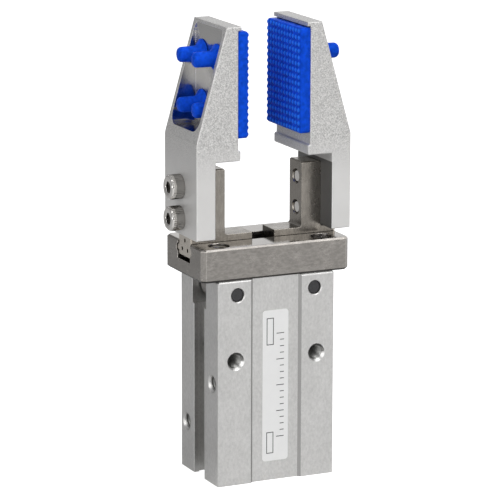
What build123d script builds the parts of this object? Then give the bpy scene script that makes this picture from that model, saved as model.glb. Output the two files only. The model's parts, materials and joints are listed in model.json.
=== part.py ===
from build123d import *
import os
from math import asin, cos, degrees, radians, sin, sqrt

# Pneumatic parallel gripper, 10 mm bore, with two bolt-on jaws and soft pads.
# Millimetres. Origin at the bottom centre of the base, +Z up through the
# fingers, +X towards the right jaw, -Y towards the face that holds the label.
# The model stands with its jaws open, which is the end of every stroke.

# Housing: a drawn profile with a sensor groove in each narrow side
body_width = 23.0
body_depth = 16.4
body_height = 37.8
body_corner_radius = 0.4
body_top_chamfer = 0.3
panel_width = 10.0
panel_recess = 0.5
groove_opening = 4.6
groove_lip = 1.0
groove_inner_width = 5.8
groove_depth = 3.3
lever_slot_width = 6.1
lever_slot_depth = 6.0
rod_pocket_length = 9.0
rod_pocket_depth = 11.3

# Holes that a machine builder uses
mount_spacing = 16.0
mount_height = 23.0
m3_tap_diameter = 2.5
m3_mouth_diameter = 3.4
base_hole_x = 8.0
base_hole_y = 5.6
base_hole_depth = 6.0
port_offset = 5.6
port_thread_depth = 5.0
port_passage_diameter = 1.8
port_gap = 0.18

# Guide block and its screws
guide_width = 29.0
guide_height = 6.0
guide_corner = 0.8
guide_edge = 0.3
guide_floor = 2.6
window_length = 20.4
window_width = 4.2
guide_screw_x = 10.1
guide_screw_y = 5.5
m2_diameter = 2.0
m2_head_diameter = 3.8
m2_head_height = 1.9
m2_socket = 1.5
m2_socket_depth = 1.0
m2_engagement = 5.0
head_sink = 0.3
screw_clearance = 0.1
head_clearance = 0.05

# Fingers: a slider that runs in the guide, with a post for the jaw
opening_gap = 15.2
stroke = 2.0
finger_depth = 5.0
post_thickness = 3.8
post_height = 12.0
post_edge = 0.2
root_radius = 0.5
slider_rise = 1.2
slider_inner_gap = 4.4
slider_end_gap = 0.2
slider_underside = 0.8
slot_clearance = 0.25
land_radius = 0.56
land_length = 1.5
end_hole_diameter = 0.75
end_hole_depth = 0.8
end_hole_offset = 1.15
finger_holes_below_tip = (3.0, 8.7)

# Ball rows between slider and guide
ball_diameter = 1.4
ball_pitch = 1.5
balls_per_row = 5
ball_height = 4.6
track_clearance = 0.04

# Levers that turn the piston stroke into finger travel
pivot_x = 7.6
pivot_below_top = 2.7
shaft_diameter = 2.5
shaft_recess = 0.4
shaft_chamfer = 0.15
drive_arm = 6.9
piston_arm = 5.0
lever_thickness = 2.4
hub_diameter = 4.8
hub_width = 5.0
drive_tip_diameter = 2.3
piston_tip_diameter = 1.8
drive_waist = 2.0
piston_waist = 1.3
running_clearance = 0.05
notch_side_clearance = 0.15
notch_end_clearance = 0.2

# Cylinder: cap, piston and rod on the Z axis
bore_diameter = 10.0
recess_diameter = 11.0
recess_depth = 2.0
ring_land = 0.5
ring_thickness = 0.7
ring_groove_depth = 0.45
ring_width = 0.95
ring_gap_angle = 60.0
ring_lug_diameter = 1.5
ring_lug_hole = 0.7
ring_lug_angle = 38.0
ring_lug_overlap = 0.3
cap_thickness = 3.8
cap_fit = 0.02
o_ring_section = 0.9
o_ring_groove_width = 1.2
bumper_diameter = 6.0
bumper_height = 1.2
bumper_seat = 0.4
stop_clearance = 0.05
piston_diameter = 9.8
piston_foot_diameter = 6.8
piston_foot = 1.4
piston_land = 0.45
seal_groove_width = 1.5
seal_groove_depth = 1.4
seal_shoulder = 0.5
seal_lip_height = 0.4
seal_dip = 0.3
magnet_groove_width = 1.6
magnet_thickness = 1.5
wear_groove_width = 1.0
wear_groove_depth = 0.8
boss_diameter = 6.0
boss_height = 2.1
top_bumper_height = 0.95
rod_diameter = 4.0
shank_diameter = 2.5
rivet_diameter = 3.6
rivet_height = 0.4
rod_seal_diameter = 6.5
rod_seal_height = 2.0
rod_seal_lip_height = 0.7
rod_seal_lip_base = 1.0
rod_seal_lip_gap = 0.5
retainer_thickness = 0.8
retainer_clearance = 0.3
joint_width = 6.4
joint_depth = 5.2
joint_below = 1.9
joint_above = 1.75
joint_web = 2.6
stud_diameter = 2.0
stud_length = 2.6

# Jaws: one bracket on each finger, with a plate that carries the pad
jaw_depth = 14.2
leg_thickness = 3.7
jaw_lift = 0.25
tip_gap = 2.1
ledge_height = 1.9
ledge_reach = 0.45
ledge_radius = 0.4
slope_rise = 3.5
top_width = 2.22
lip_reach = 0.62
lip_thickness = 0.75
plate_thickness = 2.35
pocket_wall = 1.03
pocket_floor_rise = 1.85
pocket_corner = 2.3
jaw_edge = 0.15

# Socket screws that hold the jaws
m25_diameter = 2.5
m25_head_diameter = 4.5
m25_head_height = 2.5
m25_socket = 2.0
m25_socket_depth = 1.3
m25_end_inset = 0.25
screw_edge = 0.2

# Silicone pads with four pull-through pins each
grip_gap = 10.2
pad_thickness = 1.95
pad_depth = 14.0
pad_height = 19.0
pad_above_ledge = 2.05
pad_below_lip = 0.2
pad_edge_radius = 0.3
pin_diameter = 2.8
pin_tip_x = 14.15
pin_tip_chamfer = 0.5
pin_spacing_y = 6.5
pin_spacing_z = 9.0
pin_fit = 0.05
barb_diameter = 5.2
barb_length = 1.1

# Label on the front panel
label_width = 5.1
label_height = 28.0
label_thickness = 0.1
label_corner = 0.6
label_base = 3.6

# How near an edge or corner must be to the place where it is looked for
near = 0.001

# Heights and places worked out from the sizes above
guide_top = body_height + guide_height
slot_base = body_height + guide_floor
slider_base = slot_base + slider_underside
slider_top = guide_top + slider_rise
finger_tip = slider_top + post_height
post_inner = opening_gap / 2
post_outer = post_inner + post_thickness
slider_inner = slider_inner_gap / 2
slider_outer = guide_width / 2 - slider_end_gap
slot_half = finger_depth / 2 + slot_clearance
ball_line = (finger_depth / 2 + slot_half) / 2
ball_z = body_height + ball_height
track_radius = ball_diameter / 2 + track_clearance

pivot_z = body_height - pivot_below_top
swing = 2 * degrees(asin(stroke / 2 / drive_arm))
open_tilt = swing / 2
piston_travel = 2 * piston_arm * sin(radians(open_tilt))
joint_z = pivot_z + piston_travel / 2
notch_x = pivot_x + stroke / 2
lever_tip_z = pivot_z + drive_arm

ring_base = recess_depth + ring_land
cap_base = ring_base + ring_thickness
cap_top = cap_base + cap_thickness
bumper_top = cap_top + bumper_height - bumper_seat
piston_base = bumper_top + stop_clearance + piston_travel
piston_body_base = piston_base + piston_foot
piston_body = 4 * piston_land + seal_groove_width + magnet_groove_width + wear_groove_width
boss_base = piston_body_base + piston_body
boss_top = boss_base + boss_height
retainer_base = boss_top + top_bumper_height + stop_clearance
bore_top = retainer_base + retainer_thickness
rod_seal_top = bore_top + rod_seal_height
rod_hole_diameter = rod_diameter + 2 * running_clearance
opening_port_z = cap_top + port_passage_diameter
closing_port_z = retainer_base - port_passage_diameter / 2 - port_gap

jaw_base = slider_top + jaw_lift
step_z = finger_tip + tip_gap
ledge_top = step_z + ledge_height
plate_inner = grip_gap / 2 + pad_thickness
plate_outer = plate_inner + plate_thickness
leg_outer = post_outer + leg_thickness
slope_base = step_z + slope_rise
pad_base = ledge_top + pad_above_ledge
pad_top = pad_base + pad_height
lip_base = pad_top + pad_below_lip
jaw_top = lip_base + lip_thickness
pocket_floor = slope_base + pocket_floor_rise
pad_middle = (pad_base + pad_top) / 2
panel_y = body_depth / 2 - panel_recess


def save(builder, name):
    """Labels a finished piece and writes it under its own name."""
    builder.part.label = name
    export_step(builder.part, f"parts/{name}.step")


def turned(profile):
    """A piece turned about Z from its half section, points of (radius, height)."""
    with BuildPart() as piece:
        with BuildSketch(Plane.XZ):
            with BuildLine():
                Polyline(*profile, close=True)
            make_face()
        revolve(axis=Axis.Z)
    return piece


def ring(inner_radius, outer_radius, base, height):
    """A plain turned ring."""
    return turned(
        [
            (inner_radius, base),
            (outer_radius, base),
            (outer_radius, base + height),
            (inner_radius, base + height),
        ]
    )


def mirrored(piece):
    """The same piece on the other side of the gripper."""
    with BuildPart() as twin:
        mirror(piece.part, about=Plane.YZ)
    return twin


def socket_screws(places, diameter, length, head_diameter, head_height, socket, socket_depth):
    """Hexagon socket head screws. Each place is the plane under a head, facing out of the head."""
    with BuildPart() as screws:
        for place in places:
            with BuildSketch(place):
                Circle(head_diameter / 2)
            extrude(amount=head_height)
            with BuildSketch(place):
                Circle(diameter / 2)
            extrude(amount=-length)
            with BuildSketch(place.offset(head_height)):
                RegularPolygon(socket / 2, 6, major_radius=False)
            extrude(amount=-socket_depth, mode=Mode.SUBTRACT)
            rim = screws.edges().filter_by(GeomType.CIRCLE).filter_by(
                lambda edge: abs(edge.radius - head_diameter / 2) < near
                and abs(place.to_local_coords(edge.center()).Z - head_height) < near
            )
            chamfer(rim, length=screw_edge)
    return screws


os.makedirs("parts", exist_ok=True)

# Housing
with BuildPart() as housing:
    with BuildSketch():
        Rectangle(body_width, body_depth)
        fillet(vertices(), radius=body_corner_radius)
        with Locations((0, -body_depth / 2), (0, body_depth / 2)):
            Rectangle(panel_width - 2 * panel_recess, 2 * panel_recess, mode=Mode.SUBTRACT)
        for side in (-1, 1):
            front = side * body_depth / 2
            with BuildLine():
                Polyline(
                    (-panel_width / 2, front),
                    (-panel_width / 2 + panel_recess, front - side * panel_recess),
                    (panel_width / 2 - panel_recess, front - side * panel_recess),
                    (panel_width / 2, front),
                    close=True,
                )
            make_face(mode=Mode.SUBTRACT)
            with Locations((side * (body_width / 2 - groove_depth / 2), 0)):
                Rectangle(groove_depth, groove_opening, mode=Mode.SUBTRACT)
            with Locations((side * (body_width / 2 - (groove_lip + groove_depth) / 2), 0)):
                Rectangle(groove_depth - groove_lip, groove_inner_width, mode=Mode.SUBTRACT)
    extrude(amount=body_height)
    top_edges = housing.edges().group_by(Axis.Z)[-1].filter_by(Axis.X)
    chamfer(top_edges.group_by(Axis.Y)[0] + top_edges.group_by(Axis.Y)[-1], length=body_top_chamfer)

    # The lever slot runs right across the top, with a deeper pocket round the rod
    with BuildSketch(Plane.XY.offset(body_height)):
        Rectangle(body_width, lever_slot_width)
    extrude(amount=-lever_slot_depth, mode=Mode.SUBTRACT)
    with BuildSketch(Plane.XY.offset(body_height)):
        SlotOverall(rod_pocket_length, lever_slot_width)
    extrude(amount=-rod_pocket_depth, mode=Mode.SUBTRACT)

    # Cylinder bore, locating recess, ring groove, rod seal seat and rod hole
    with BuildSketch(Plane.XZ):
        with BuildLine():
            Polyline(
                (0, 0),
                (recess_diameter / 2, 0),
                (recess_diameter / 2, recess_depth),
                (bore_diameter / 2, recess_depth),
                (bore_diameter / 2, ring_base),
                (bore_diameter / 2 + ring_groove_depth, ring_base),
                (bore_diameter / 2 + ring_groove_depth, cap_base),
                (bore_diameter / 2, cap_base),
                (bore_diameter / 2, bore_top),
                (rod_seal_diameter / 2, bore_top),
                (rod_seal_diameter / 2, rod_seal_top),
                (rod_hole_diameter / 2, rod_seal_top),
                (rod_hole_diameter / 2, body_height),
                (0, body_height),
                close=True,
            )
        make_face()
    revolve(axis=Axis.Z, mode=Mode.SUBTRACT)

    # Threaded holes through both wide faces, two in the base and four for the guide
    mouth = (m3_mouth_diameter - m3_tap_diameter) / 2
    for face_plane in (
        Plane((0, -body_depth / 2, mount_height), x_dir=(1, 0, 0), z_dir=(0, -1, 0)),
        Plane((0, body_depth / 2, mount_height), x_dir=(1, 0, 0), z_dir=(0, 1, 0)),
    ):
        with Locations(face_plane):
            with GridLocations(mount_spacing, 1, 2, 1):
                CounterSinkHole(m3_tap_diameter / 2, m3_mouth_diameter / 2, body_depth / 2)
    with Locations(Plane.XY.rotated((180, 0, 0))):
        with Locations((-base_hole_x, -base_hole_y), (base_hole_x, base_hole_y)):
            Hole(m3_tap_diameter / 2, depth=base_hole_depth)
    with Locations(Plane.XY.offset(body_height)):
        with GridLocations(2 * guide_screw_x, 2 * guide_screw_y, 2, 2):
            Hole(m2_diameter / 2, depth=m2_engagement + head_sink)

    # Bores for the lever shafts, with their countersunk mouths on both faces
    for face in (-1, 1):
        face_plane = Plane((0, face * body_depth / 2, pivot_z), x_dir=(1, 0, 0), z_dir=(0, face, 0))
        with Locations(face_plane):
            with GridLocations(2 * pivot_x, 1, 2, 1):
                CounterSinkHole(shaft_diameter / 2, shaft_diameter / 2 + shaft_chamfer, body_depth / 2)

    # Air ports in the left side, drilled on until they break into the bore
    for port_y, port_z in ((port_offset, opening_port_z), (-port_offset, closing_port_z)):
        port_plane = Plane((-body_width / 2, port_y, port_z), x_dir=(0, -1, 0), z_dir=(-1, 0, 0))
        with Locations(port_plane):
            CounterSinkHole(m3_tap_diameter / 2, m3_mouth_diameter / 2, port_thread_depth)
            Hole(port_passage_diameter / 2, depth=body_width / 2)
save(housing, "housing")

# Guide block
with BuildPart() as guide_block:
    with BuildSketch(Plane.XY.offset(body_height)):
        Rectangle(guide_width, body_depth)
    extrude(amount=guide_height)
    chamfer(guide_block.edges().filter_by(Axis.Z), length=guide_corner)
    chamfer(guide_block.faces().filter_by(Axis.Z).edges(), length=guide_edge)
    with BuildSketch(Plane.YZ.offset(-guide_width / 2)):
        with Locations((0, (slot_base + guide_top) / 2)):
            Rectangle(2 * slot_half, guide_top - slot_base)
        with Locations((-ball_line, ball_z), (ball_line, ball_z)):
            Circle(track_radius)
    extrude(amount=guide_width, mode=Mode.SUBTRACT)
    with BuildSketch(Plane.XY.offset(body_height)):
        SlotOverall(window_length, window_width)
    extrude(amount=guide_floor, mode=Mode.SUBTRACT)
    with Locations(Plane.XY.offset(guide_top)):
        with GridLocations(2 * guide_screw_x, 2 * guide_screw_y, 2, 2):
            CounterBoreHole(
                m2_diameter / 2 + screw_clearance,
                m2_head_diameter / 2 + head_clearance,
                m2_head_height + head_sink,
                guide_height,
            )
save(guide_block, "guide_block")

head_seat = guide_top - m2_head_height - head_sink
guide_screws = socket_screws(
    [
        Plane((x, y, head_seat))
        for x in (-guide_screw_x, guide_screw_x)
        for y in (-guide_screw_y, guide_screw_y)
    ],
    m2_diameter,
    head_seat - body_height + m2_engagement,
    m2_head_diameter,
    m2_head_height,
    m2_socket,
    m2_socket_depth,
)
save(guide_screws, "guide_screws")

# Lever shafts, pressed in flush with the bottom of their recesses
shaft_length = body_depth - 2 * shaft_recess
shaft_start = (-pivot_x, -shaft_length / 2, pivot_z)
with BuildPart() as lever_shaft_left:
    with BuildSketch(Plane(shaft_start, x_dir=(1, 0, 0), z_dir=(0, 1, 0))):
        Circle(shaft_diameter / 2)
    extrude(amount=shaft_length)
    chamfer(lever_shaft_left.edges().filter_by(GeomType.CIRCLE), length=shaft_chamfer)
save(lever_shaft_left, "lever_shaft_left")
save(mirrored(lever_shaft_left), "lever_shaft_right")

# Levers: drawn square on the tilted plane that they stand at with the jaws open
tilt = radians(open_tilt)
lever_plane = Plane((-pivot_x, 0, pivot_z), x_dir=(cos(tilt), 0, sin(tilt)), z_dir=(0, -1, 0))
with BuildPart() as lever_left:
    with BuildSketch(lever_plane):
        Circle(hub_diameter / 2)
        with Locations((0, drive_arm)):
            Circle(drive_tip_diameter / 2)
        with Locations((0, drive_arm / 2)):
            Rectangle(drive_waist, drive_arm)
        with Locations((piston_arm, 0)):
            Circle(piston_tip_diameter / 2)
        with Locations((piston_arm / 2, 0)):
            Rectangle(piston_arm, piston_waist)
    extrude(amount=lever_thickness / 2, both=True)
    with BuildSketch(lever_plane):
        Circle(hub_diameter / 2)
    extrude(amount=hub_width / 2, both=True)
    with BuildSketch(lever_plane):
        Circle(shaft_diameter / 2 + running_clearance)
    extrude(amount=hub_width / 2, both=True, mode=Mode.SUBTRACT)
save(lever_left, "lever_left")
save(mirrored(lever_left), "lever_right")

# Cylinder cap with its O-ring and bumper, held by a retaining ring
cap_radius = bore_diameter / 2 - cap_fit
o_ring_bed = bore_diameter / 2 - o_ring_section
o_ring_z = cap_base + cap_thickness / 2
cylinder_cap = turned(
    [
        (0, cap_base),
        (cap_radius, cap_base),
        (cap_radius, o_ring_z - o_ring_groove_width / 2),
        (o_ring_bed, o_ring_z - o_ring_groove_width / 2),
        (o_ring_bed, o_ring_z + o_ring_groove_width / 2),
        (cap_radius, o_ring_z + o_ring_groove_width / 2),
        (cap_radius, cap_top),
        (bumper_diameter / 2, cap_top),
        (bumper_diameter / 2, cap_top - bumper_seat),
        (0, cap_top - bumper_seat),
    ]
)
save(cylinder_cap, "cylinder_cap")

with BuildPart() as cap_o_ring:
    with BuildSketch(Plane.XZ):
        with Locations((bore_diameter / 2 - o_ring_section / 2, o_ring_z)):
            RegularPolygon(o_ring_section / 2, 8, major_radius=False, rotation=22.5)
    revolve(axis=Axis.Z)
save(cap_o_ring, "cap_o_ring")

with BuildPart() as cap_bumper:
    with BuildSketch(Plane.XY.offset(cap_top - bumper_seat)):
        Circle(bumper_diameter / 2)
    extrude(amount=bumper_height)
save(cap_bumper, "cap_bumper")

ring_outer = bore_diameter / 2 + ring_groove_depth
ring_inner = ring_outer - ring_width
lug_line = ring_inner - ring_lug_diameter / 2 + ring_lug_overlap
gap_x = 2 * ring_outer
gap_y = gap_x * sin(radians(ring_gap_angle / 2))
with BuildPart() as retaining_ring:
    with BuildSketch(Plane.XY.offset(ring_base)):
        Circle(ring_outer)
        Circle(ring_inner, mode=Mode.SUBTRACT)
        with BuildLine():
            Polyline((0, 0), (gap_x, -gap_y), (gap_x, gap_y), close=True)
        make_face(mode=Mode.SUBTRACT)
        with PolarLocations(lug_line, 2, -ring_lug_angle, 4 * ring_lug_angle):
            Circle(ring_lug_diameter / 2)
            Circle(ring_lug_hole / 2, mode=Mode.SUBTRACT)
    extrude(amount=ring_thickness)
save(retaining_ring, "retaining_ring")

# Piston with its seal, magnet and wear ring
piston_radius = piston_diameter / 2
seal_base = piston_body_base + piston_land
magnet_base = seal_base + seal_groove_width + piston_land
wear_base = magnet_base + magnet_groove_width + piston_land
seal_bed = piston_radius - seal_groove_depth
magnet_bed = piston_radius - magnet_thickness
wear_bed = piston_radius - wear_groove_depth
piston = turned(
    [
        (rivet_diameter / 2, piston_base),
        (piston_foot_diameter / 2, piston_base),
        (piston_foot_diameter / 2, piston_body_base),
        (piston_radius, piston_body_base),
        (piston_radius, seal_base),
        (seal_bed, seal_base),
        (seal_bed, seal_base + seal_groove_width),
        (piston_radius, seal_base + seal_groove_width),
        (piston_radius, magnet_base),
        (magnet_bed, magnet_base),
        (magnet_bed, magnet_base + magnet_groove_width),
        (piston_radius, magnet_base + magnet_groove_width),
        (piston_radius, wear_base),
        (wear_bed, wear_base),
        (wear_bed, wear_base + wear_groove_width),
        (piston_radius, wear_base + wear_groove_width),
        (piston_radius, boss_base),
        (boss_diameter / 2, boss_base),
        (boss_diameter / 2, boss_top),
        (shank_diameter / 2, boss_top),
        (shank_diameter / 2, piston_base + rivet_height),
        (rivet_diameter / 2, piston_base + rivet_height),
    ]
)
save(piston, "piston")

lip_radius = bore_diameter / 2 - running_clearance
seal_groove_top = seal_base + seal_groove_width
piston_seal = turned(
    [
        (seal_bed, seal_base),
        (lip_radius - seal_shoulder, seal_base),
        (lip_radius, seal_base + seal_lip_height),
        (lip_radius - seal_dip, seal_base + seal_groove_width / 2),
        (lip_radius, seal_groove_top - seal_lip_height),
        (lip_radius - seal_shoulder, seal_groove_top),
        (seal_bed, seal_groove_top),
    ]
)
save(piston_seal, "piston_seal")
save(ring(magnet_bed, piston_radius, magnet_base, magnet_groove_width), "piston_magnet")
save(ring(wear_bed, lip_radius, wear_base, wear_groove_width), "wear_ring")
save(ring(rod_diameter / 2, boss_diameter / 2, boss_top, top_bumper_height), "piston_bumper")

# Rod: a shank riveted through the piston, the guided length, and a stud on top
joint_base = joint_z - joint_below
piston_rod = turned(
    [
        (0, piston_base),
        (rivet_diameter / 2, piston_base),
        (rivet_diameter / 2, piston_base + rivet_height),
        (shank_diameter / 2, piston_base + rivet_height),
        (shank_diameter / 2, boss_top),
        (rod_diameter / 2, boss_top),
        (rod_diameter / 2, joint_base),
        (stud_diameter / 2, joint_base),
        (stud_diameter / 2, joint_base + stud_length),
        (0, joint_base + stud_length),
    ]
)
save(piston_rod, "piston_rod")

# Rod joint: a block with a groove on each side for the levers' inner tips
tip_groove = piston_tip_diameter + 2 * running_clearance
with BuildPart() as rod_joint:
    with BuildSketch(Plane.XY.offset(joint_base)):
        Rectangle(joint_width, joint_depth)
        fillet(vertices(), radius=body_corner_radius)
    extrude(amount=joint_below + joint_above)
    side_cut = (joint_width - joint_web) / 2
    with BuildSketch(Plane.XZ):
        with Locations(
            (-(joint_web + side_cut) / 2, joint_z),
            ((joint_web + side_cut) / 2, joint_z),
        ):
            Rectangle(side_cut, tip_groove)
    extrude(amount=joint_depth / 2, both=True, mode=Mode.SUBTRACT)
    with BuildSketch(Plane.XY.offset(joint_base)):
        Circle(stud_diameter / 2)
    extrude(amount=stud_length, mode=Mode.SUBTRACT)
save(rod_joint, "rod_joint")

# Rod seal and the plate that keeps it in its seat
seal_lip = rod_diameter / 2 + running_clearance
rod_seal = turned(
    [
        (seal_lip, bore_top),
        (rod_seal_diameter / 2, bore_top),
        (rod_seal_diameter / 2, rod_seal_top),
        (seal_lip + rod_seal_lip_gap, rod_seal_top),
        (seal_lip + rod_seal_lip_gap, bore_top + rod_seal_lip_base),
        (seal_lip, bore_top + rod_seal_lip_height),
    ]
)
save(rod_seal, "rod_seal")
seal_retainer = ring(
    rod_diameter / 2 + retainer_clearance, bore_diameter / 2, retainer_base, retainer_thickness
)
save(seal_retainer, "seal_retainer")

# Fingers: slider profile with ball lands, post, lever notch and screw holes
track_start = slider_inner + land_length
track_end = slider_outer - land_length
with BuildPart() as finger_left:
    with BuildSketch(Plane.YZ.offset(-slider_outer)):
        with Locations((0, (slider_base + slider_top) / 2)):
            Rectangle(finger_depth, slider_top - slider_base)
        with Locations((-ball_line, ball_z), (ball_line, ball_z)):
            Circle(land_radius)
    extrude(amount=slider_outer - slider_inner)
    with BuildSketch(Plane.YZ.offset(-track_end)):
        with Locations((-ball_line, ball_z), (ball_line, ball_z)):
            Circle(track_radius)
    extrude(amount=track_end - track_start, mode=Mode.SUBTRACT)
    with BuildSketch(Plane.XY.offset(slider_top)):
        with Locations((-(post_inner + post_outer) / 2, 0)):
            Rectangle(post_thickness, finger_depth)
    extrude(amount=post_height)
    tip_face = finger_left.faces().sort_by(Axis.Z)[-1]
    chamfer(tip_face.edges(), length=post_edge)
    root = finger_left.edges().filter_by(Axis.Y).filter_by_position(
        Axis.Z, slider_top - near, slider_top + near
    )
    inner_root = root.filter_by_position(Axis.X, -post_inner - near, -post_inner + near)
    fillet(inner_root, radius=root_radius)
    with BuildSketch(Plane.XY.offset(slider_base)):
        with Locations((-notch_x, 0)):
            Rectangle(
                drive_tip_diameter + 2 * running_clearance,
                lever_thickness + 2 * notch_side_clearance,
            )
    extrude(
        amount=lever_tip_z + drive_tip_diameter / 2 + notch_end_clearance - slider_base,
        mode=Mode.SUBTRACT,
    )
    for below in finger_holes_below_tip:
        inner_face = Plane((-post_inner, 0, finger_tip - below), x_dir=(0, 1, 0), z_dir=(1, 0, 0))
        with Locations(inner_face):
            CounterSinkHole(m25_diameter / 2, m25_diameter / 2 + post_edge, post_thickness)
    end_face = Plane((-slider_outer, 0, ball_z), x_dir=(0, -1, 0), z_dir=(-1, 0, 0))
    with Locations(end_face):
        with Locations(
            (-end_hole_offset, 0), (end_hole_offset, 0), (0, sqrt(2) * end_hole_offset)
        ):
            Hole(end_hole_diameter / 2, depth=end_hole_depth)
save(finger_left, "finger_left")
save(mirrored(finger_left), "finger_right")

# Ball rows, at the inner ends of their tracks while the jaws are open
row_start = -track_start - track_clearance - ball_diameter / 2
with BuildPart() as balls_left:
    for index in range(balls_per_row):
        with Locations(
            (row_start - index * ball_pitch, -ball_line, ball_z),
            (row_start - index * ball_pitch, ball_line, ball_z),
        ):
            Sphere(ball_diameter / 2)
save(balls_left, "guide_balls_left")
save(mirrored(balls_left), "guide_balls_right")

# Jaws: the side view is cut from a bar, then the back of the plate is pocketed
with BuildPart() as jaw_left:
    with BuildSketch(Plane.XZ.offset(-jaw_depth / 2)):
        with BuildLine():
            Polyline(
                (-post_outer, jaw_base),
                (-leg_outer, jaw_base),
                (-leg_outer, slope_base),
                (-(plate_inner + top_width), jaw_top),
                (-(plate_inner - lip_reach), jaw_top),
                (-(plate_inner - lip_reach), lip_base),
                (-plate_inner, lip_base),
                (-plate_inner, ledge_top),
                (-(plate_inner - ledge_reach), ledge_top),
                (-(plate_inner - ledge_reach), step_z),
                (-post_outer, step_z),
                close=True,
            )
        make_face()
        fillet(vertices().filter_by(
            lambda corner: abs(corner.X + plate_inner - ledge_reach) < near
            and corner.Z < ledge_top + near
        ), radius=ledge_radius)
    extrude(amount=jaw_depth)
    outline = jaw_left.faces().filter_by(Axis.Y).edges()
    chamfer(outline, length=jaw_edge)
    half_pocket = jaw_depth / 2 - pocket_wall
    with BuildSketch(Plane.YZ.offset(-plate_outer)):
        with Locations((0, (pocket_floor + jaw_top) / 2)):
            Rectangle(2 * half_pocket, jaw_top - pocket_floor)
        fillet(vertices().group_by(Axis.Z)[0], radius=pocket_corner)
    extrude(amount=plate_outer - leg_outer, mode=Mode.SUBTRACT)
    pin_plane = Plane((-plate_inner, 0, pad_middle), x_dir=(0, 1, 0), z_dir=(1, 0, 0))
    with Locations(pin_plane):
        with GridLocations(pin_spacing_y, pin_spacing_z, 2, 2):
            Hole(pin_diameter / 2 + pin_fit, depth=plate_thickness)
    for below in finger_holes_below_tip:
        outer_face = Plane((-leg_outer, 0, finger_tip - below), x_dir=(0, -1, 0), z_dir=(-1, 0, 0))
        with Locations(outer_face):
            Hole(m25_diameter / 2 + screw_clearance, depth=leg_thickness)
save(jaw_left, "jaw_left")
save(mirrored(jaw_left), "jaw_right")

jaw_screws_left = socket_screws(
    [
        Plane((-leg_outer, 0, finger_tip - below), x_dir=(0, -1, 0), z_dir=(-1, 0, 0))
        for below in finger_holes_below_tip
    ],
    m25_diameter,
    leg_outer - post_inner - m25_end_inset,
    m25_head_diameter,
    m25_head_height,
    m25_socket,
    m25_socket_depth,
)
save(jaw_screws_left, "jaw_screws_left")
save(mirrored(jaw_screws_left), "jaw_screws_right")

# Pads: a moulded slab whose pins are pulled through the plate up to their barbs
with BuildPart() as pad_left:
    with BuildSketch(Plane.YZ.offset(-plate_inner)):
        with Locations((0, pad_middle)):
            Rectangle(pad_depth, pad_height)
    extrude(amount=pad_thickness)
    grip_face = pad_left.faces().sort_by(Axis.X)[-1]
    fillet(grip_face.edges(), radius=pad_edge_radius)
    with BuildSketch(Plane.YZ.offset(-plate_inner)):
        with Locations((0, pad_middle)):
            with GridLocations(pin_spacing_y, pin_spacing_z, 2, 2):
                Circle(pin_diameter / 2)
    extrude(amount=-(pin_tip_x - plate_inner))
    tips = pad_left.faces().group_by(Axis.X)[0]
    chamfer(tips.edges(), length=pin_tip_chamfer)
    barb_base = Plane((-plate_outer, 0, pad_middle), x_dir=(0, 1, 0), z_dir=(-1, 0, 0))
    with Locations(barb_base):
        with GridLocations(pin_spacing_y, pin_spacing_z, 2, 2):
            Cone(
                barb_diameter / 2,
                pin_diameter / 2,
                barb_length,
                align=(Align.CENTER, Align.CENTER, Align.MIN),
            )
save(pad_left, "pad_left")
save(mirrored(pad_left), "pad_right")

# Label, stuck on the front panel
label_middle = (0, -panel_y, label_base + label_height / 2)
with BuildPart() as label_plate:
    with BuildSketch(Plane(label_middle, x_dir=(1, 0, 0), z_dir=(0, -1, 0))):
        RectangleRounded(label_width, label_height, label_corner)
    extrude(amount=label_thickness)
save(label_plate, "label_plate")

print("lever swing, degrees", round(swing, 4), "piston travel, mm", round(piston_travel, 4))
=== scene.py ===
import json
import math

import bmesh
import bpy
from mathutils import Matrix, Vector


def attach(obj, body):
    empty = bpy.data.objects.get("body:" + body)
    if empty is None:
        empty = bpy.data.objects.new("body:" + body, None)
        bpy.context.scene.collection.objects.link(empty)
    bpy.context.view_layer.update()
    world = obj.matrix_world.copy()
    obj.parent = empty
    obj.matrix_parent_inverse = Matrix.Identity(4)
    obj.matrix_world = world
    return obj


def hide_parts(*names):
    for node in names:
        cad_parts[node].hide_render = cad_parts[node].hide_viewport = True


MM = 0.001

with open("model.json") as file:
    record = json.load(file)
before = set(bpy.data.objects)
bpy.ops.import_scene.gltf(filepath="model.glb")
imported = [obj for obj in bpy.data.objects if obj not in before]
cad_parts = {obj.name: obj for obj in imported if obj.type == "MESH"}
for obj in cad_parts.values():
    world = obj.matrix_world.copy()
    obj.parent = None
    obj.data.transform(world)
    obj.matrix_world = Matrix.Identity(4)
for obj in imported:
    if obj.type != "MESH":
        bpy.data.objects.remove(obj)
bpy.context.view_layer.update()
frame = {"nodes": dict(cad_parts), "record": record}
nodes = frame["nodes"]


# Node helpers

BEVEL_SAMPLES = 6
EDGE_TURNED, EDGE_FLAT = 0.80, 0.99


def new_material(name):
    material = bpy.data.materials.new(name)
    material.use_nodes = True
    return material, material.node_tree, material.node_tree.nodes["Principled BSDF"]


def add(tree, kind, **values):
    """Adds a node. Sockets are set by name, with _ for a space, and lower-case words set properties."""
    node = tree.nodes.new(kind)
    for key, value in values.items():
        if key[0].islower():
            setattr(node, key, value)
        else:
            node.inputs[key.replace("_", " ")].default_value = value
    return node


def noise(tree, size_mm, stretch=(1, 1, 1), detail=2.0, roughness=0.5):
    """Noise in the piece's own coordinates, whose features are size_mm across and drawn out by stretch."""
    coords = add(tree, "ShaderNodeTexCoord")
    scale = [1 / (size_mm * MM * s) for s in stretch]
    mapping = add(tree, "ShaderNodeMapping", Scale=scale)
    field = add(tree, "ShaderNodeTexNoise", Scale=1.0, Detail=detail, Roughness=roughness)
    tree.links.new(coords.outputs["Object"], mapping.inputs["Vector"])
    tree.links.new(mapping.outputs["Vector"], field.inputs["Vector"])
    return field.outputs["Fac"]


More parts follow.
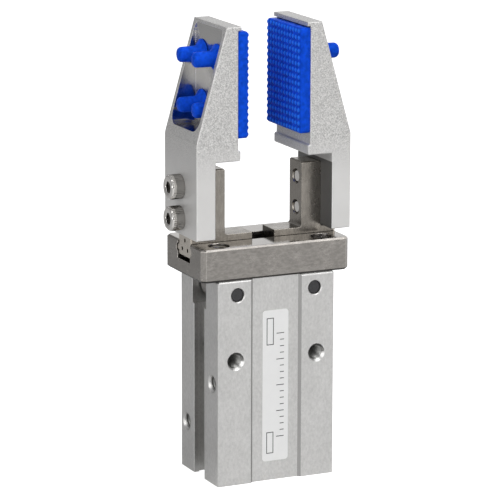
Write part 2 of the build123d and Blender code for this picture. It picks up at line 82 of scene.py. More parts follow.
def remap(tree, value, low, high, start=0.3, end=0.7):
    """Spreads value's range start to end over low to high."""
    node = add(tree, "ShaderNodeMapRange", From_Min=start, From_Max=end, To_Min=low, To_Max=high)
    tree.links.new(value, node.inputs["Value"])
    return node.outputs["Result"]


def mix(tree, factor, first, second):
    """Mixes two colours, each a socket or three numbers, by a socket."""
    node = add(tree, "ShaderNodeMix", data_type="RGBA")
    tree.links.new(factor, node.inputs["Factor"])
    for socket, value in ((node.inputs[6], first), (node.inputs[7], second)):
        if isinstance(value, bpy.types.NodeSocket):
            tree.links.new(value, socket)
        else:
            socket.default_value = (*value, 1)
    return node.outputs[2]


def calc(tree, operation, *values):
    """A Math node on sockets or numbers."""
    node = add(tree, "ShaderNodeMath", operation=operation)
    for socket, value in zip(node.inputs, values):
        if isinstance(value, bpy.types.NodeSocket):
            tree.links.new(value, socket)
        else:
            socket.default_value = value
    return node.outputs[0]


def edges(tree, radius_mm):
    """The normal of a slightly rounded edge, and a mask that is 1 along edges.

    The mask follows the cosine of the angle between the rounded normal and the plain one."""
    bevel = add(tree, "ShaderNodeBevel", samples=BEVEL_SAMPLES, Radius=radius_mm * MM)
    geometry = add(tree, "ShaderNodeNewGeometry")
    dot = add(tree, "ShaderNodeVectorMath", operation="DOT_PRODUCT")
    tree.links.new(bevel.outputs["Normal"], dot.inputs[0])
    tree.links.new(geometry.outputs["Normal"], dot.inputs[1])
    mask = remap(tree, dot.outputs["Value"], 1, 0, EDGE_TURNED, EDGE_FLAT)
    return bevel.outputs["Normal"], mask


def bump(tree, height, depth_mm, normal):
    """The normal, bent by a relief that is depth_mm high where height is 1."""
    node = add(tree, "ShaderNodeBump", Strength=1.0, Distance=depth_mm * MM)
    tree.links.new(height, node.inputs["Height"])
    tree.links.new(normal, node.inputs["Normal"])
    return node.outputs["Normal"]


def shade(color, factor):
    """A colour made factor times as bright, and no brighter than white."""
    return tuple(min(1.0, c * factor) for c in color)


# Finishes, with the shares of roughness and grain that the masks leave

MILLED_GLOSS, MILLED_GRAIN, CALM_GRAIN = 0.38, 0.1, 0.15
SKIN_GLOSS_SPREAD = 0.05
GLOW_COLOR, GLOW_REACH = (0.3, 0.5, 1.0), 0.5


def metal(
    name,
    color,
    roughness,
    grain_mm=0.35,
    stretch=(1, 1, 1),
    grain_depth=0.003,
    contrast=0.08,
    edge_mm=0.12,
    edge_gain=1.25,
    metallic=1.0,
    cloud_mm=7.0,
    cloud_contrast=0.05,
    gloss_spread=0.06,
    smooth=None,
    calm=None,
    calm_painted_light_gain=1.0,
    painted_lighting=None,
    painted_lighting_gain=0.5,
):
    """A worked metal: fine grain, slow clouding, and edges painted brighter, partly as polish from
    handling and partly as a painted highlight.

    smooth, calm and patch are functions that make a mask. Where smooth gives 1, a mill has cut the
    grain away and left a shine. Where calm does, the grain is only faint, and the colour is
    calm_painted_light_gain times as bright, as painted light. Where patch does, the colour is
    painted_lighting_gain times
    as bright: painted light where painted_lighting_gain is above 1, and painted shade where it is below."""
    material, tree, shader = new_material(name)
    grain = noise(tree, grain_mm, stretch, detail=3.0, roughness=0.65)
    cloud = noise(tree, cloud_mm, detail=3.0, roughness=0.6)
    rounded, edge = edges(tree, edge_mm)
    gloss = remap(tree, cloud, roughness - gloss_spread, roughness + gloss_spread)
    shader.inputs["Metallic"].default_value = metallic
    height = calc(tree, "SUBTRACT", grain, 0.5)
    if smooth:
        mask = smooth(tree)
        gloss = calc(tree, "MULTIPLY", gloss, remap(tree, mask, 1.0, MILLED_GLOSS, 0, 1))
        height = calc(tree, "MULTIPLY", height, remap(tree, mask, 1.0, MILLED_GRAIN, 0, 1))
        if metallic < 1:
            tree.links.new(remap(tree, mask, metallic, 1.0, 0, 1), shader.inputs["Metallic"])
    if calm:
        quiet = calm(tree)
        height = calc(tree, "MULTIPLY", height, remap(tree, quiet, 1.0, CALM_GRAIN, 0, 1))
    height = calc(tree, "ADD", height, 0.5)
    tone = mix(tree, remap(tree, height, 0, 1), shade(color, 1 - contrast), shade(color, 1 + contrast))
    # Painted light: where the calm mask gives 1, the colour is made brighter.
    if calm:
        tone = mix(tree, quiet, tone, shade(color, calm_painted_light_gain))
    tone = mix(tree, remap(tree, cloud, 0, cloud_contrast * 2), tone, shade(color, 0.5))
    # Edges painted brighter: partly polish from handling, partly a painted highlight.
    tone = mix(tree, edge, tone, shade(color, edge_gain))
    # Painted light and painted shade: where the mask gives 1, the colour is made brighter or darker.
    if painted_lighting:
        tone = mix(tree, painted_lighting(tree), tone, shade(color, painted_lighting_gain))
    tree.links.new(tone, shader.inputs["Base Color"])
    tree.links.new(gloss, shader.inputs["Roughness"])
    tree.links.new(bump(tree, height, grain_depth, rounded), shader.inputs["Normal"])
    return material


def polymer(
    name,
    color,
    roughness,
    grain_mm=0.5,
    grain_depth=0.003,
    contrast=0.06,
    edge_mm=0.15,
    edge_gain=1.3,
    specular=0.5,
    tint=(1, 1, 1),
    glow=0.0,
    highlight=None,
    highlight_color=None,
):
    """Moulded rubber or plastic: a fine skin texture and a slightly paler edge, which is a painted
    highlight.

    Where thin, a function that makes a mask, gives 1, the colour is highlight_color: painted light, a
    highlight and the light that seems to come through the silicone at its tips."""
    material, tree, shader = new_material(name)
    grain = noise(tree, grain_mm, detail=2.0)
    rounded, edge = edges(tree, edge_mm)
    tone = mix(tree, remap(tree, grain, 0, 1), shade(color, 1 - contrast), shade(color, 1 + contrast))
    # Edges painted paler as a painted highlight.
    tone = mix(tree, remap(tree, edge, 0, 0.5, 0, 1), tone, shade(color, edge_gain))
    # Painted highlight: where the mask gives 1, the colour is a paler blue.
    if highlight:
        tone = mix(tree, highlight(tree), tone, highlight_color)
    tree.links.new(tone, shader.inputs["Base Color"])
    gloss = remap(tree, grain, roughness - SKIN_GLOSS_SPREAD, roughness + SKIN_GLOSS_SPREAD)
    tree.links.new(gloss, shader.inputs["Roughness"])
    tree.links.new(bump(tree, grain, grain_depth, rounded), shader.inputs["Normal"])
    shader.inputs["Specular IOR Level"].default_value = specular
    shader.inputs["Specular Tint"].default_value = (*tint, 1)
    if glow:
        shader.inputs["Subsurface Weight"].default_value = glow
        shader.inputs["Subsurface Radius"].default_value = GLOW_COLOR
        shader.inputs["Subsurface Scale"].default_value = GLOW_REACH * MM
    return material


# Masks, by measures of the object at rest, in mm from its middle planes and its base

SKIN = 0.05
LEG_OUTER, SLOPE_BASE, JAW_TOP, TOP_OUTER = 15.1, 62.6, 83.0, 9.27
POCKET_FLOOR, POCKET_HALF, POCKET_BACK = 64.4, 6.1, 9.35
LEG_TOP, LEG_FADE = 62.0, 55.0
LEG_INNER, SEAT_TOP, KNURL_TOP = 11.4, 57.5, 16.78
PANEL_FOOT, PANEL_EDGE, PANEL_Y = 4.5, 5.0, 7.7
GUIDE_BASE, SHADOW_STRIP = 37.8, 0.38
SLIDER_END, SLIDER_TOP = 14.0, 45.0
PAD_FACE, STUD_HEIGHT = 5.1, 0.27
UP_START, UP_FULL = 0.8, 0.95


def place_of(tree, output="Object"):
    """The point's distances from the middle planes in X and Y, and its Z."""
    coords = add(tree, "ShaderNodeTexCoord")
    split = add(tree, "ShaderNodeSeparateXYZ")
    tree.links.new(coords.outputs[output], split.inputs[0])
    across, along = (calc(tree, "ABSOLUTE", split.outputs[axis]) for axis in "XY")
    return across, along, split.outputs["Z"]


def every(tree, *tests):
    """1 where all the tests, each an operation, a socket and a limit in mm or a socket, hold."""
    mask = None
    for operation, value, limit in tests:
        if not isinstance(limit, bpy.types.NodeSocket):
            limit = limit * MM
        test = calc(tree, operation, value, limit)
        mask = calc(tree, "MULTIPLY", mask, test) if mask else test
    return mask


def pocket(tree):
    """1 on the faces of the pocket in a jaw's plate."""
    across, along, height = place_of(tree)
    rim = remap(
        tree, height, (LEG_OUTER - SKIN) * MM, (TOP_OUTER - SKIN) * MM, SLOPE_BASE * MM, JAW_TOP * MM,
    )
    return every(
        tree, ("LESS_THAN", across, rim), ("GREATER_THAN", across, POCKET_BACK),
        ("LESS_THAN", along, POCKET_HALF), ("GREATER_THAN", height, POCKET_FLOOR),
    )


def leg(tree):
    """1 on a jaw's leg, fading out where its plate begins; the jaw is painted brighter there, as painted
    light.
    """
    return remap(tree, place_of(tree)[2], 1, 0, LEG_FADE * MM, LEG_TOP * MM)


def shaded_leg_seat(tree):
    """1 on the inner face of a jaw's leg, which lies on the finger and is made darker there as painted
    shade.
    """
    across, _, height = place_of(tree)
    return every(tree, ("LESS_THAN", across, LEG_INNER + SKIN), ("LESS_THAN", height, SEAT_TOP))


def lit_slider_end(tree):
    """1 on the end faces of the finger's slider, which are made brighter as painted light."""
    across, _, height = place_of(tree)
    return every(tree, ("GREATER_THAN", across, SLIDER_END), ("LESS_THAN", height, SLIDER_TOP))


def knurl(tree):
    """1 on the knurled part of a jaw screw's head, which is made darker as painted shade."""
    across = place_of(tree)[0]
    return every(tree, ("GREATER_THAN", across, LEG_OUTER), ("LESS_THAN", across, KNURL_TOP))


def stud_tips(tree):
    """Rises from 0 on a pad's face to 1 on the tips of its studs."""
    return remap(
        tree, place_of(tree)[0], 1, 0, (PAD_FACE - STUD_HEIGHT) * MM, (PAD_FACE - SKIN) * MM,
    )


def shaded_recess_wall(tree):
    """1 on the slanted walls beside the housing's sunk panels, which are made darker as painted shade."""
    across, along, _ = place_of(tree)
    return every(
        tree, ("GREATER_THAN", across, PANEL_FOOT), ("LESS_THAN", across, PANEL_EDGE),
        ("GREATER_THAN", along, PANEL_Y),
    )


def shaded_lower_edge(tree):
    """1 along the guide block's lower edge above the housing, which is made darker as a painted shadow
    line.
    """
    return every(tree, ("LESS_THAN", place_of(tree)[2], GUIDE_BASE + SHADOW_STRIP))


def ground_top(tree):
    """1 on faces that look up."""
    return remap(tree, place_of(tree, "Normal")[2], 0, 1, UP_START, UP_FULL)


# Looks of the record's material slots, and of single pieces: sunk screws, cut threads and ink. The sunk
# screws and cut threads are darker copies of the screw steel and the housing's aluminium: painted shade in
# their holes.

looks = {
    "housing_aluminium": metal(
        "satin_aluminium", (0.605, 0.600, 0.588), 0.38, grain_mm=0.38, stretch=(1, 1, 1.6),
        # Painted shade: the walls beside the sunk panels are made darker.
        grain_depth=0.010, contrast=0.10, edge_mm=0.16, edge_gain=1.6, painted_lighting=shaded_recess_wall, painted_lighting_gain=0.55,
    ),
    "guide_steel": metal(
        "ground_steel", (0.305, 0.288, 0.268), 0.30, grain_mm=0.30, stretch=(3, 1, 1.4),
        grain_depth=0.008, contrast=0.20, edge_mm=0.18, edge_gain=3.0, cloud_mm=3.0, cloud_contrast=0.10,
        # Painted shade: a dark line along the block's lower edge.
        smooth=ground_top, painted_lighting=shaded_lower_edge, painted_lighting_gain=0.15,
    ),
    "finger_steel": metal(
        "finger_steel", (0.285, 0.264, 0.235), 0.25, grain_mm=0.30, stretch=(1, 1, 4), grain_depth=0.006,
        # Painted light: the slider's end faces are made brighter.
        contrast=0.16, edge_mm=0.14, edge_gain=2.2, cloud_mm=3.0, cloud_contrast=0.12, painted_lighting=lit_slider_end,
        painted_lighting_gain=2.0,
    ),
    "screw_steel": metal(
        "screw_steel", (0.70, 0.68, 0.65), 0.09, grain_depth=0.0005, contrast=0.03, edge_mm=0.05,
        # Painted shade: the knurled part of the head is made darker.
        gloss_spread=0.02, painted_lighting=knurl, painted_lighting_gain=0.45,
    ),
    # A darker copy of the screw steel for the screws sunk in the guide block: painted shade.
    "shaded_sunk_screw": metal(
        "shaded_screw_steel", (0.26, 0.25, 0.24), 0.24, grain_depth=0.001, edge_mm=0.05, edge_gain=1.8,
    ),
    "shaft_steel": metal(
        "shaft_steel", (0.07, 0.07, 0.072), 0.42, contrast=0.15, edge_mm=0.05, edge_gain=1.4,
    ),
    "lever_steel": metal("lever_steel", (0.30, 0.29, 0.28), 0.36, edge_mm=0.08, edge_gain=1.6),
    "ball_steel": metal(
        "ball_steel", (0.72, 0.72, 0.73), 0.10, grain_depth=0.0005, contrast=0.03, edge_mm=0.01,
        edge_gain=1.0, gloss_spread=0.02,
    ),
    "spring_steel": metal("spring_steel", (0.13, 0.13, 0.13), 0.42, edge_mm=0.05, edge_gain=1.7),
    "jaw_aluminium": metal(
        "blasted_aluminium", (0.61, 0.604, 0.592), 0.42, grain_mm=0.18, grain_depth=0.055, contrast=0.48,
        # Painted light: the legs are made brighter, with fainter grain.
        edge_mm=0.15, edge_gain=1.45, metallic=0.55, smooth=pocket, calm=leg, calm_painted_light_gain=1.18,
        # Painted shade: the inner face of the leg that lies on the finger is made darker.
        painted_lighting=shaded_leg_seat, painted_lighting_gain=0.27,
    ),
    # A darker copy of the housing's aluminium for the threads inside its holes: painted shade.
    "shaded_cut_thread": metal("shaded_cut_thread", (0.32, 0.32, 0.31), 0.38, grain_depth=0.001, edge_mm=0.04),
    "cap_aluminium": metal("turned_aluminium", (0.66, 0.66, 0.66), 0.30, edge_mm=0.08),
    "piston_aluminium": metal(
        "piston_aluminium", (0.70, 0.70, 0.70), 0.30, stretch=(1, 1, 4), edge_mm=0.08,
    ),
    "magnet_ferrite": metal(
        "ferrite", (0.06, 0.06, 0.065), 0.62, grain_depth=0.006, contrast=0.2, edge_mm=0.05, metallic=0.2,
    ),
    "pad_silicone": polymer(
        "blue_silicone", (0.007, 0.076, 0.65), 0.28, grain_mm=0.8, grain_depth=0.006, contrast=0.22,
        edge_mm=0.14, edge_gain=1.15, specular=0.025, tint=(0.15, 0.35, 1.0), glow=0.15,
        # Painted highlight: the stud tips are a paler blue.
        highlight=stud_tips, highlight_color=(0.03, 0.22, 1.0),
    ),
    "seal_rubber": polymer("seal_rubber", (0.015, 0.015, 0.015), 0.55),
    "bumper_urethane": polymer("urethane", (0.20, 0.14, 0.05), 0.40),
    "wear_ring_plastic": polymer("wear_plastic", (0.72, 0.68, 0.56), 0.50),
    "label_film": polymer(
        "label_film", (0.87, 0.87, 0.862), 0.36, grain_mm=1.2, grain_depth=0.001, contrast=0.01,
        edge_mm=0.04,
    ),
    "ink": polymer("label_ink", (0.02, 0.02, 0.02), 0.45),
}
slot_of = {part["node"]: part["material_slot"] for part in frame["record"]["subparts"]}


def dress(piece, material):
    piece.data.materials.clear()
    piece.data.materials.append(material)


for name, node in nodes.items():
    dress(node, looks[slot_of[name]])


# Mesh helpers

SIDES = ((-1, "left"), (1, "right"))


def to_object(name, mesh):
    """Makes a bmesh an object of the scene."""
    data = bpy.data.meshes.new(name)
    mesh.to_mesh(data)
    mesh.free()
    made = bpy.data.objects.new(name, data)
    bpy.context.scene.collection.objects.link(made)
    return made


def finish_mesh(name, mesh, body, slot_name, sharp_degrees):
    """Makes a bmesh a smooth-shaded piece that rides on a body."""
    bmesh.ops.recalc_face_normals(mesh, faces=mesh.faces)
    piece = to_object(name, mesh)
    for polygon in piece.data.polygons:
        polygon.use_smooth = True
    piece.data.set_sharp_from_angle(angle=math.radians(sharp_degrees))
    dress(piece, looks[slot_name])
    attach(piece, body)
    return piece


def place(origin, out):
    """A frame at origin, in mm, whose Z points along out."""
    facing = Vector(out).normalized().to_track_quat("Z", "Y").to_matrix().to_4x4()
    return Matrix.Translation(Vector(origin) * MM) @ facing


KNURL_DEPTH = 0.09


def ring_radius(kind, size, index, segments):
    """Radius of a ring's point: round, knurled with a ridge at every other point, or a hexagon."""
    if kind == "hex":
        from_flat = (360 * index / segments) % 60 - 30
        return size / math.cos(math.radians(from_flat))
    if kind == "knurl":
        return size - (KNURL_DEPTH if index % 2 else 0)
    return size


def turn(mesh, where, profile, segments):
    """Adds a turned form to the mesh, from (kind, size, height) in mm along the local axis."""
    previous = None
    for kind, size, height in profile:
        if size == 0:
            ring = [mesh.verts.new(where @ Vector((0, 0, height * MM)))]
        else:
            ring = []
            for index in range(segments):
                angle = 2 * math.pi * index / segments
                radius = ring_radius(kind, size, index, segments) * MM
                point = Vector((radius * math.cos(angle), radius * math.sin(angle), height * MM))
                ring.append(mesh.verts.new(where @ point))
        if previous:
            join_rings(mesh, previous, ring)
        previous = ring


def join_rings(mesh, first, second):
    """Skins the gap between two rings of points. One of them may be a single point."""
    count = max(len(first), len(second))
    for index in range(count):
        after = (index + 1) % count
        if len(first) == 1:
            mesh.faces.new((first[0], second[index], second[after]))
        elif len(second) == 1:
            mesh.faces.new((first[index], first[after], second[0]))
        else:
            mesh.faces.new((first[index], first[after], second[after], second[index]))


SCREW_SEGMENTS, THREAD_DEPTH, SCREW_POINT, CONE_DEPTH = 72, 0.3, 0.3, 0.3


def socket_screw(mesh, where, diameter, pitch, length, head, head_height, socket, socket_depth):
    """A socket head screw from the plane under its head: threaded shank, knurled head and hexagon."""
    radius, crest = diameter / 2, pitch / 6
    root = radius - THREAD_DEPTH
    height = -length + SCREW_POINT
    profile = [("round", 0, -length), ("round", root, -length), ("round", radius, height)]
    height += pitch
    while height < -pitch:
        profile += [
            ("round", root, height - pitch / 2),
            ("round", radius, height - crest),
            ("round", radius, height),
        ]
        height += pitch
    profile += [
        ("round", radius, 0),
        ("round", head / 2 - 0.12, 0),
        ("knurl", head / 2, 0.12),
        ("knurl", head / 2, head_height - 0.36),
        ("round", head / 2 - 0.14, head_height - 0.3),
        ("round", head / 2 - 0.2, head_height - 0.12),
        ("round", head / 2 - 0.34, head_height),
        ("round", socket / 2 + 0.28, head_height),
        ("round", socket / 2 + 0.2, head_height - 0.03),
        ("hex", socket / 2, head_height - 0.14),
        ("hex", socket / 2, head_height - socket_depth),
        ("round", 0, head_height - socket_depth - CONE_DEPTH),
    ]
    turn(mesh, where, profile, SCREW_SEGMENTS)


# Socket screws of the jaws and the guide block

JAW_SCREW = dict(
    diameter=2.5, pitch=0.45, length=7.25, head=4.5, head_height=2.5, socket=2.0, socket_depth=1.3,
)
GUIDE_SCREW = dict(
    diameter=2.0, pitch=0.4, length=8.8, head=3.8, head_height=1.9, socket=1.5, socket_depth=1.0,
)
FINGER_TIP, HOLES_BELOW_TIP = 57.0, (3.0, 8.7)
GUIDE_SCREW_X, GUIDE_SCREW_Y, HEAD_SEAT = 10.1, 5.5, 41.6
THREAD_SHARP = 25

for side, label in SIDES:
    mesh = bmesh.new()
    for below in HOLES_BELOW_TIP:
        where = place((side * LEG_OUTER, 0, FINGER_TIP - below), (side, 0, 0))
        socket_screw(mesh, where, **JAW_SCREW)
    screws = finish_mesh(f"knurled_screws_{label}", mesh, f"{label}_finger", "screw_steel", THREAD_SHARP)
    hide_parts(f"jaw_screws_{label}")

mesh = bmesh.new()
for x in (-GUIDE_SCREW_X, GUIDE_SCREW_X):
    for y in (-GUIDE_SCREW_Y, GUIDE_SCREW_Y):
        socket_screw(mesh, place((x, y, HEAD_SEAT), (0, 0, 1)), **GUIDE_SCREW)
screws = finish_mesh("guide_socket_screws", mesh, "body", "screw_steel", THREAD_SHARP)
# The guide's screws take a darker copy of the screw steel: painted shade in their counterbores.
dress(screws, looks["shaded_sunk_screw"])
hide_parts("guide_screws")


# Threads in the housing's tapped holes

TAP_PITCH, TAP_RADIUS, TAP_MOUTH, RIDGE = 0.5, 1.25, 1.7, 0.22
TURN_STEPS, ROOT_HALF, CREST_HALF, ROOT_OVERLAP = 28, 0.46, 0.07, 0.02
THREAD_INSET, BASE_INSET = 0.28, 0.4
HALF_WIDTH, HALF_DEPTH = 11.5, 8.2
FACE_HOLE_X, FACE_HOLE_Z, FACE_HOLE_DEPTH = 8.0, 23.0, 5.0
BASE_HOLES, BASE_HOLE_DEPTH = ((-8.0, -5.6), (8.0, 5.6)), 5.0
PORTS, PORT_DEPTH = ((5.6, 8.8), (-5.6, 18.62)), 4.5


def thread(mesh, where, depth, mouth):
    """A helical ridge down the local -Z, from a mouth of that radius along the wall of a tapped hole.

    ROOT_HALF and CREST_HALF are half its widths at root and crest, in pitches."""
    count = int(depth / TAP_PITCH * TURN_STEPS)
    rows = []
    for index in range(count + 1):
        angle = 2 * math.pi * index / TURN_STEPS
        height = -TAP_PITCH * index / TURN_STEPS
        fade = min(1.0, index / TURN_STEPS, (count - index) / TURN_STEPS)
        root = max(TAP_RADIUS, mouth + height) + ROOT_OVERLAP
        crest = TAP_RADIUS - RIDGE * fade
        points = (
            (root, height + TAP_PITCH * ROOT_HALF),
            (crest, height + TAP_PITCH * CREST_HALF),
            (crest, height - TAP_PITCH * CREST_HALF),
            (max(TAP_RADIUS, root - TAP_PITCH * 2 * ROOT_HALF), height - TAP_PITCH * ROOT_HALF),
        )
        rows.append([
            mesh.verts.new(where @ Vector((r * MM * math.cos(angle), r * MM * math.sin(angle), h * MM)))
            for r, h in points
        ])
    for first, second in zip(rows, rows[1:]):
        for a in range(len(first) - 1):
            mesh.faces.new((first[a], second[a], second[a + 1], first[a + 1]))


mesh = bmesh.new()
for x in (-FACE_HOLE_X, FACE_HOLE_X):
    for face in (-1, 1):
        where = place((x, face * (HALF_DEPTH - THREAD_INSET), FACE_HOLE_Z), (0, face, 0))
        thread(mesh, where, FACE_HOLE_DEPTH, TAP_MOUTH - THREAD_INSET)
for x, y in BASE_HOLES:
    thread(mesh, place((x, y, BASE_INSET), (0, 0, -1)), BASE_HOLE_DEPTH, TAP_RADIUS)
for y, z in PORTS:
    where = place((THREAD_INSET - HALF_WIDTH, y, z), (-1, 0, 0))
    thread(mesh, where, PORT_DEPTH, TAP_MOUTH - THREAD_INSET)
threads = finish_mesh("tapped_threads", mesh, "body", "housing_aluminium", THREAD_SHARP)
# The threads take a darker copy of the housing's aluminium: painted shade inside the holes.
dress(threads, looks["shaded_cut_thread"])


# Silicone pads: a moulded slab with rows of small studs and four barbed pins

PLATE_INNER, PLATE_OUTER = 7.05, 9.4
PAD_DEPTH, PAD_HEIGHT, PAD_MIDDLE = 14.0, 19.0, 72.55
PAD_EDGE, PAD_CORNER, PAD_CHAMFER = 0.3, 0.6, 0.12
EDGE_STEPS, CORNER_STEPS, PAD_SHARP = 6, 8, 50
STUD_ROWS, STUD_COLUMNS, STUD_MARGIN, STUD_SEGMENTS = 16, 12, 0.66, 12
STUD = (
    ("round", 0.47, -0.03),
    ("round", 0.43, 0.10),
    ("round", 0.31, 0.22),
    ("round", 0, STUD_HEIGHT),
)
PIN_Y, PIN_Z, PIN_SEGMENTS = 3.25, 4.5, 40
BARB_SEAT = PLATE_OUTER - PLATE_INNER
PIN = (
    ("round", 1.4, -0.3),
    ("round", 1.4, BARB_SEAT - 0.02),
    ("round", 2.45, BARB_SEAT),
    ("round", 2.6, BARB_SEAT + 0.12),
    ("round", 2.5, BARB_SEAT + 0.26),
    ("round", 1.62, BARB_SEAT + 0.98),
    ("round", 1.42, BARB_SEAT + 1.25),
    ("round", 1.38, 6.35),
    ("round", 1.33, 6.65),
    ("round", 1.14, 6.91),
    ("round", 0.78, 7.05),
    ("round", 0, 7.1),
)


def spread(index, count, length):
    """The place of one of count points that are spread evenly over a length, from its middle."""
    return (index / (count - 1) - 0.5) * length


def rounded_outline(width, height, radius):
    points = []
    for cx, cy, start in (
        (width / 2 - radius, height / 2 - radius, 0),
        (radius - width / 2, height / 2 - radius, 90),
        (radius - width / 2, radius - height / 2, 180),
        (width / 2 - radius, radius - height / 2, 270),
    ):
        for index in range(CORNER_STEPS + 1):
            angle = math.radians(start + 90 * index / CORNER_STEPS)
            points.append((cx + radius * math.cos(angle), cy + radius * math.sin(angle)))
    return points


def slab(mesh, side):
    """A pad's slab: chamfered at the jaw's plate, and rounded round its face."""
    previous = None
    levels = [(PLATE_INNER, PAD_CHAMFER), (PLATE_INNER - PAD_CHAMFER, 0.0), (PAD_FACE + PAD_EDGE, 0.0)]
    for index in range(1, EDGE_STEPS + 1):
        angle = math.radians(90 * index / EDGE_STEPS)
        levels.append((PAD_FACE + PAD_EDGE - PAD_EDGE * math.sin(angle), PAD_EDGE * (1 - math.cos(angle))))
    for x, inset in levels:
        outline = rounded_outline(PAD_DEPTH - 2 * inset, PAD_HEIGHT - 2 * inset, PAD_CORNER - inset)
        ring = [mesh.verts.new(Vector((side * x, y, PAD_MIDDLE + z)) * MM) for y, z in outline]
        if previous:
            join_rings(mesh, previous, ring)
        else:
            mesh.faces.new(ring)
        previous = ring
    mesh.faces.new(previous)


for side, label in SIDES:
    mesh = bmesh.new()
    slab(mesh, side)
    for row in range(STUD_ROWS):
        z = PAD_MIDDLE + spread(row, STUD_ROWS, PAD_HEIGHT - 2 * STUD_MARGIN)
        for column in range(STUD_COLUMNS):
            y = spread(column, STUD_COLUMNS, PAD_DEPTH - 2 * STUD_MARGIN)
            turn(mesh, place((side * PAD_FACE, y, z), (-side, 0, 0)), STUD, STUD_SEGMENTS)
    for y in (-PIN_Y, PIN_Y):
        for z in (-PIN_Z, PIN_Z):
            turn(mesh, place((side * PLATE_INNER, y, PAD_MIDDLE + z), (side, 0, 0)), PIN, PIN_SEGMENTS)
    pad = finish_mesh(f"studded_pad_{label}", mesh, f"{label}_finger", "pad_silicone", PAD_SHARP)
    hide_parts(f"pad_{label}")


# Label print: two empty fields and a scale of ticks

PRINT_Y, LINE = -7.806, 0.14
FIELD_LEFT, FIELD_RIGHT, FIELD_SPANS = -1.75, -0.35, ((25.2, 30.2), (5.0, 9.0))
TICKS, TICK_PITCH, TICK_BASE, TICK_END = 17, 1.2, 8.0, 1.7
TICK_LENGTH, LONG_TICK_LENGTH, LONG_EVERY = 0.8, 1.5, 4


def strip(mesh, x0, x1, z0, z1):
    """A flat rectangle that lies on the label."""
    corners = ((x0, z0), (x1, z0), (x1, z1), (x0, z1))
    mesh.faces.new([mesh.verts.new(Vector((x, PRINT_Y, z)) * MM) for x, z in corners])


def field(mesh, x0, x1, z0, z1):
    """The outline of an empty field."""
    strip(mesh, x0, x1, z0, z0 + LINE)
    strip(mesh, x0, x1, z1 - LINE, z1)
    strip(mesh, x0, x0 + LINE, z0 + LINE, z1 - LINE)
    strip(mesh, x1 - LINE, x1, z0 + LINE, z1 - LINE)


mesh = bmesh.new()
for low, high in FIELD_SPANS:
    field(mesh, FIELD_LEFT, FIELD_RIGHT, low, high)
for index in range(TICKS):
    length = TICK_LENGTH if index % LONG_EVERY else LONG_TICK_LENGTH
    low = TICK_BASE + index * TICK_PITCH
    strip(mesh, TICK_END - length, TICK_END, low, low + LINE)
marks = to_object("label_marks", mesh)
dress(marks, looks["ink"])
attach(marks, "body")


# Stage and lights

FLOOR_GLOW, FLOOR_BACK_SHARE, FLOOR_FRONT_SHARE = 0.9, 0.08, 0.46
FRONT_RIGHT, FRONT_START, FRONT_FULL = (0.42, -0.89, 0), -0.02, 0.01
FLOOR_HALF, FLOOR_GRID, FLOOR_DROP = 6, 8, 0.02
PAPER_GRAIN, PAPER_DARK, PAPER_PALE = 60, 0.50, 0.52
SKY_SHARE, SKY_LOW, SKY_HIGH = 0.12, (0.10, 0.10, 0.10), (0.42, 0.42, 0.43)
SKY_START, SKY_FULL = -0.2, 0.9
LIGHTS_AIM = Vector((0, 0, 0.045))


def background(tree, share):
    """How much of the white background shows: all of it to the camera, and a share in metal and glass."""
    path = add(tree, "ShaderNodeLightPath")
    mirrored = calc(tree, "ADD", path.outputs["Is Glossy Ray"], path.outputs["Is Transmission Ray"])
    return calc(tree, "MAXIMUM", path.outputs["Is Camera Ray"], calc(tree, "MULTIPLY", mirrored, share))


def floor_material():
    """Pale paper, which metal and glass see brighter on its front right half."""
    material, tree, shader = new_material("pale_floor")
    shader.inputs["Roughness"].default_value = 0.9
    shader.inputs["Specular IOR Level"].default_value = 0.1
    tone = remap(tree, noise(tree, PAPER_GRAIN, detail=1.0), PAPER_DARK, PAPER_PALE)
    tree.links.new(tone, shader.inputs["Base Color"])
    coords = add(tree, "ShaderNodeTexCoord")
    toward = add(tree, "ShaderNodeVectorMath", operation="DOT_PRODUCT")
    toward.inputs[1].default_value = FRONT_RIGHT
    tree.links.new(coords.outputs["Object"], toward.inputs[0])
    front = toward.outputs["Value"]
    share = remap(tree, front, FLOOR_BACK_SHARE, FLOOR_FRONT_SHARE, FRONT_START, FRONT_FULL)
    shader.inputs["Emission Color"].default_value = (1, 1, 1, 1)
    glow = calc(tree, "MULTIPLY", background(tree, share), FLOOR_GLOW)
    tree.links.new(glow, shader.inputs["Emission Strength"])
    return material


mesh = bmesh.new()
bmesh.ops.create_grid(mesh, x_segments=FLOOR_GRID, y_segments=FLOOR_GRID, size=FLOOR_HALF)
floor = to_object("floor", mesh)
dress(floor, floor_material())
floor.location.z = -FLOOR_DROP * MM


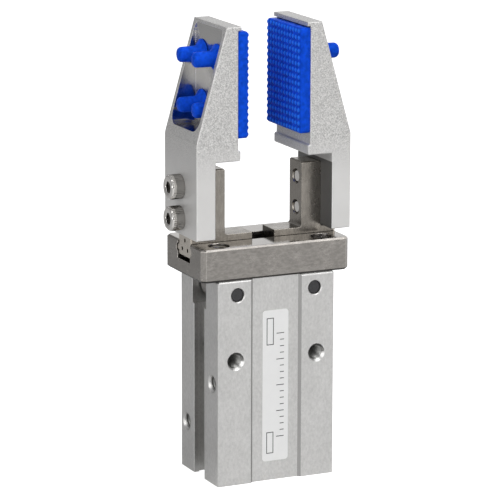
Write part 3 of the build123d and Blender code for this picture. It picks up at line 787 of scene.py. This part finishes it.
def softbox(name, location, power, size, height=None):
    """An area light that looks at the object: square, or size wide and height high, in metres."""
    data = bpy.data.lights.new(name, "AREA")
    data.energy = power
    data.size = size
    if height:
        data.shape = "RECTANGLE"
        data.size_y = height
    light = bpy.data.objects.new(name, data)
    bpy.context.scene.collection.objects.link(light)
    light.location = location
    light.rotation_euler = (LIGHTS_AIM - light.location).to_track_quat("-Z", "Y").to_euler()
    light.visible_camera = False


softbox("key", (0.20, -0.70, 0.42), 1.8, 0.55)
softbox("left_fill", (-0.62, -0.34, 0.30), 2.1, 0.45, 0.6)
softbox("top", (0.12, -0.20, 0.60), 1.7, 0.45)
softbox("back", (0.34, 0.76, 0.24), 0.35, 0.5, 0.3)
softbox("right_rim", (0.60, 0.25, 0.30), 0.9, 0.3, 0.6)

scene = bpy.context.scene
world = bpy.data.worlds.new("studio")
world.use_nodes = True
scene.world = world
tree = world.node_tree
coords = add(tree, "ShaderNodeTexCoord")
split = add(tree, "ShaderNodeSeparateXYZ")
tree.links.new(coords.outputs["Generated"], split.inputs[0])
sky = mix(tree, remap(tree, split.outputs["Z"], 0, 1, SKY_START, SKY_FULL), SKY_LOW, SKY_HIGH)
seen = mix(tree, background(tree, SKY_SHARE), sky, (1, 1, 1))
tree.links.new(seen, tree.nodes["Background"].inputs["Color"])
scene.view_settings.view_transform = "Standard"


# Camera, fitted to the photograph

CAMERA_AT = Vector((-0.229845, -0.490913, 0.164011))
YAW, PITCH, ROLL = (math.radians(a) for a in (24.949, -12.789, 0.150))
PHOTO_WIDTH, FOCAL_PIXELS, SENSOR = 500, 3079.68, 36.0
ahead = Vector((math.sin(YAW) * math.cos(PITCH), math.cos(YAW) * math.cos(PITCH), math.sin(PITCH)))
level = Vector((math.cos(YAW), -math.sin(YAW), 0))
above = level.cross(ahead)
right = level * math.cos(ROLL) + above * math.sin(ROLL)
upward = above * math.cos(ROLL) - level * math.sin(ROLL)
camera_data = bpy.data.cameras.new("camera")
camera_data.sensor_width = SENSOR
camera_data.lens = FOCAL_PIXELS / PHOTO_WIDTH * SENSOR
camera_data.clip_start = 0.01
camera = bpy.data.objects.new("camera", camera_data)
scene.collection.objects.link(camera)
axes = Matrix((right, upward, -ahead)).transposed()
camera.matrix_world = Matrix.Translation(CAMERA_AT) @ axes.to_4x4()
scene.camera = camera
